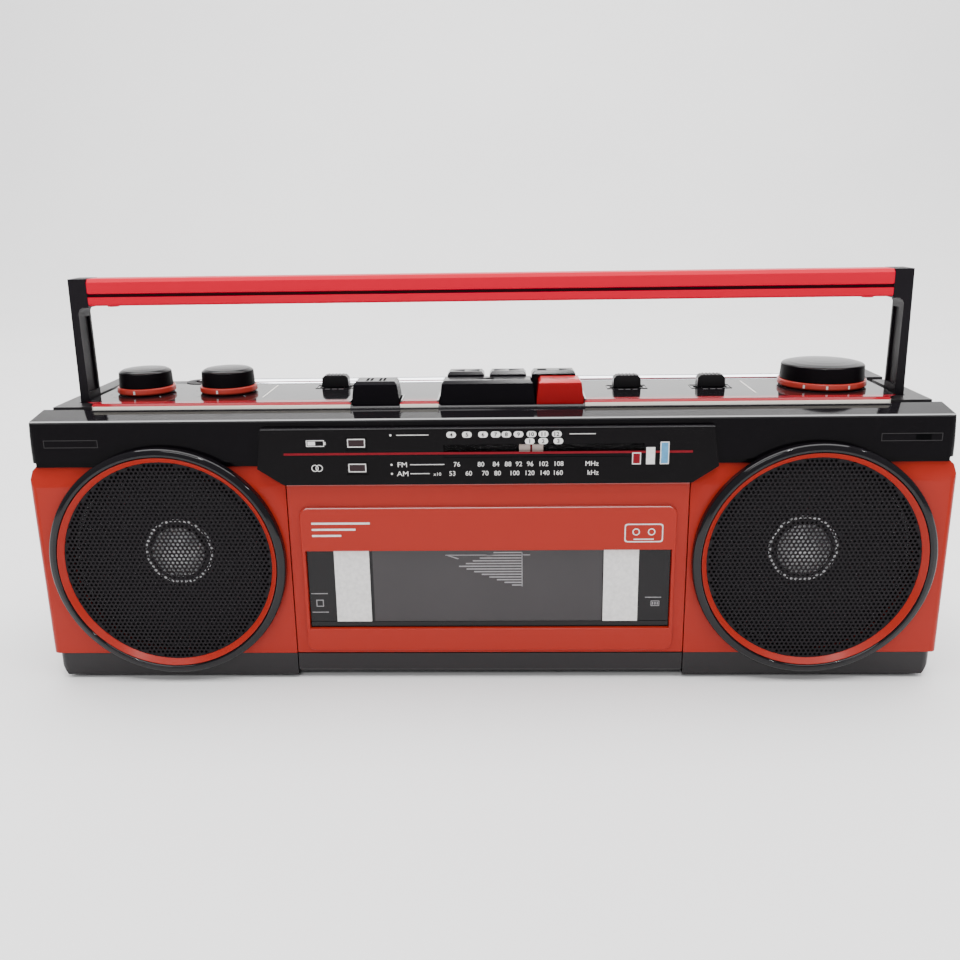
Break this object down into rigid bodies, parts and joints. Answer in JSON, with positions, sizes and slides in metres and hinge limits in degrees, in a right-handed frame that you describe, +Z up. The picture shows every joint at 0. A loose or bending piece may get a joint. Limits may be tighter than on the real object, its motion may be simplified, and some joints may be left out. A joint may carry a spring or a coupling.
{
  "type": "radio cassette player",
  "caption": "Low wide portable stereo radio cassette player with round speakers at each end, a bottom-hinged cassette door, top piano keys, knobs, slide switches, aerial and a fold-back handle.",
  "frame": {"origin": "centre of the base on the table, half way between the speaker rings' front and the casing's rear face", "axes": "+X to the right of someone facing the front, +Y to the rear, +Z up"},
  "size_m": [0.313, 0.08, 0.1398],
  "materials": {
    "cabinet_black": "fine satin moulding",
    "red_moulding": "semi-gloss orange red",
    "panel_black": "polished",
    "trim_silver": "bright foil",
    "ring_black": "polished",
    "grille_steel": "perforated, black",
    "speaker_steel": "zinc plated",
    "cone_paper": "doped paper",
    "dome_silver": "bright",
    "key_black": "gloss",
    "key_red": "gloss",
    "knob_black": "satin top",
    "knob_orange": "gloss",
    "switch_black": "satin",
    "smoked_window": "smoked acrylic",
    "dial_clear": "clear acrylic",
    "lamp_lens": "dark red acrylic",
    "white_print": "bright strip",
    "needle_white": "gloss",
    "deck_steel": "zinc plated",
    "reel_white": "acetal",
    "flywheel_metal": "turned",
    "head_metal": "polished face",
    "roller_rubber": "matt",
    "motor_can": "plated can",
    "pulley_brass": "turned",
    "belt_rubber": "matt",
    "grip_red": "satin",
    "arm_black": "satin",
    "aerial_chrome": "polished",
    "board_green": "lacquered",
    "foot_rubber": "matt",
    "contact_metal": "nickel plated",
    "screw_steel": "zinc plated"
  },
  "bodies": {
    "cabinet": {"front_cabinet": "cabinet_black", "front_panel": "red_moulding", "rear_cabinet": "cabinet_black", "battery_contacts": "contact_metal", "control_panel": "panel_black", "panel_trim": "trim_silver", "jack_plate": "cabinet_black", "feet": "foot_rubber", "case_screws": "screw_steel", "dial_bezel": "panel_black", "dial_window": "dial_clear", "indicator_lenses": "lamp_lens", "speaker_ring_left": "ring_black", "speaker_ring_right": "ring_black", "speaker_grille_left": "grille_steel", "speaker_grille_right": "grille_steel", "speaker_frame_left": "speaker_steel", "speaker_frame_right": "speaker_steel", "speaker_cone_left": "cone_paper", "speaker_cone_right": "cone_paper", "dust_cap_left": "dome_silver", "dust_cap_right": "dome_silver", "deck_plate": "deck_steel", "motor": "motor_can", "drive_belt": "belt_rubber", "main_board": "board_green", "antenna_swivel": "arm_black"},
    "volume": {"volume_knob": "knob_black", "volume_ring": "knob_orange"},
    "balance": {"balance_knob": "knob_black", "balance_ring": "knob_orange"},
    "tuning": {"tuning_knob": "knob_black", "tuning_ring": "knob_orange"},
    "needle": {"dial_needle": "needle_white"},
    "pause": {"pause_key": "key_black"},
    "play": {"play_key": "key_black"},
    "record": {"record_key": "key_red"},
    "rewind": {"rewind_key": "key_black"},
    "forward": {"forward_key": "key_black"},
    "stop": {"stop_key": "key_black"},
    "function": {"function_switch": "switch_black"},
    "band": {"band_switch": "switch_black"},
    "mode": {"mode_switch": "switch_black"},
    "door": {"door_panel": "red_moulding", "door_sill": "cabinet_black", "door_window": "smoked_window", "door_strips": "white_print", "cassette_holder": "cabinet_black"},
    "supply_reel": {"supply_spindle": "reel_white"},
    "takeup_reel": {"takeup_spindle": "reel_white"},
    "flywheel": {"capstan_flywheel": "flywheel_metal"},
    "pulley": {"motor_pulley": "pulley_brass"},
    "head": {"head_bridge": "head_metal"},
    "roller": {"pinch_roller": "roller_rubber"},
    "handle": {"handle_grip": "grip_red", "handle_arms": "arm_black"},
    "aerial": {"antenna_tube": "aerial_chrome"},
    "aerial_middle": {"antenna_rod": "aerial_chrome"},
    "aerial_tip": {"antenna_tip": "aerial_chrome"},
    "battery_door": {"battery_cover": "cabinet_black"}
  },
  "joints": [
    {"name": "handle_fold", "type": "hinge", "parent": "cabinet", "child": "handle", "pos_m": [0, -0.01, 0.0915], "axis": [-1, 0, 0], "range_deg": [0, 90]},
    {"name": "door_open", "type": "hinge", "parent": "cabinet", "child": "door", "pos_m": [0, -0.0335, 0.004], "axis": [1, 0, 0], "range_deg": [0, 38]},
    {"name": "volume_turn", "type": "hinge", "parent": "cabinet", "child": "volume", "pos_m": [-0.1249, -0.002, 0.1], "axis": [0, 0, -1], "range_deg": [-140, 140]},
    {"name": "balance_turn", "type": "hinge", "parent": "cabinet", "child": "balance", "pos_m": [-0.0946, -0.002, 0.1], "axis": [0, 0, -1], "range_deg": [-140, 140]},
    {"name": "tuning_turn", "type": "hinge", "parent": "cabinet", "child": "tuning", "pos_m": [0.1203, -0.0002, 0.1], "axis": [0, 0, -1], "range_deg": [-436, 472]},
    {"name": "needle_slide", "type": "slide", "parent": "cabinet", "child": "needle", "axis": [1, 0, 0], "range_m": [-0.024, 0.026]},
    {"name": "pause_press", "type": "slide", "parent": "cabinet", "child": "pause", "axis": [0, 0, -1], "range_m": [0, 0.0045], "stiffness_N_per_m": 400, "springref_m": -0.002},
    {"name": "record_press", "type": "slide", "parent": "cabinet", "child": "record", "axis": [0, 0, -1], "range_m": [0, 0.0045], "stiffness_N_per_m": 400, "springref_m": -0.002},
    {"name": "rewind_press", "type": "slide", "parent": "cabinet", "child": "rewind", "axis": [0, 0, -1], "range_m": [0, 0.0045], "stiffness_N_per_m": 400, "springref_m": -0.002},
    {"name": "forward_press", "type": "slide", "parent": "cabinet", "child": "forward", "axis": [0, 0, -1], "range_m": [0, 0.0045], "stiffness_N_per_m": 400, "springref_m": -0.002},
    {"name": "stop_press", "type": "slide", "parent": "cabinet", "child": "stop", "axis": [0, 0, -1], "range_m": [0, 0.0045], "stiffness_N_per_m": 400, "springref_m": -0.002},
    {"name": "play_press", "type": "slide", "parent": "cabinet", "child": "play", "axis": [0, 0, -1], "range_m": [0, 0.0045], "stiffness_N_per_m": 400, "springref_m": -0.002},
    {"name": "head_drop", "type": "slide", "parent": "cabinet", "child": "head", "axis": [0, 0, -1], "range_m": [0, 0.009]},
    {"name": "function_slide", "type": "slide", "parent": "cabinet", "child": "function", "axis": [1, 0, 0], "range_m": [-0.0025, 0.0025]},
    {"name": "band_slide", "type": "slide", "parent": "cabinet", "child": "band", "axis": [1, 0, 0], "range_m": [-0.0025, 0.0025]},
    {"name": "mode_slide", "type": "slide", "parent": "cabinet", "child": "mode", "axis": [1, 0, 0], "range_m": [-0.0025, 0.0025]},
    {"name": "supply_spin", "type": "hinge", "parent": "cabinet", "child": "supply_reel", "pos_m": [0.02125, -0.017, 0.0361], "axis": [0, -1, 0], "continuous": true},
    {"name": "takeup_spin", "type": "hinge", "parent": "cabinet", "child": "takeup_reel", "pos_m": [-0.02125, -0.017, 0.0361], "axis": [0, -1, 0], "continuous": true},
    {"name": "capstan_spin", "type": "hinge", "parent": "cabinet", "child": "flywheel", "pos_m": [-0.033, -0.011, 0.061], "axis": [0, -1, 0], "continuous": true},
    {"name": "pulley_spin", "type": "hinge", "parent": "cabinet", "child": "pulley", "pos_m": [0.046, -0.011, 0.062], "axis": [0, -1, 0], "continuous": true},
    {"name": "roller_spin", "type": "hinge", "parent": "head", "child": "roller", "pos_m": [-0.033, -0.024, 0.0773], "axis": [0, -1, 0], "continuous": true},
    {"name": "aerial_lift", "type": "hinge", "parent": "cabinet", "child": "aerial", "pos_m": [-0.111, 0.0185, 0.0969], "axis": [0, -1, 0], "range_deg": [0, 90]},
    {"name": "aerial_middle_pull", "type": "slide", "parent": "aerial", "child": "aerial_middle", "axis": [1, 0, 0], "range_m": [0, 0.21]},
    {"name": "aerial_tip_pull", "type": "slide", "parent": "aerial_middle", "child": "aerial_tip", "axis": [1, 0, 0], "range_m": [0, 0.205]},
    {"name": "battery_door_pull", "type": "slide", "parent": "cabinet", "child": "battery_door", "axis": [0, 1, 0], "range_m": [0, 0.04]}
  ],
  "couplings": [
    {"joint": "needle_slide", "follows": "tuning_turn", "m_per_rad": 0.00315},
    {"joint": "head_drop", "follows": "play_press", "ratio": 2},
    {"joint": "pulley_spin", "follows": "capstan_spin", "ratio": 4.75}
  ]
}
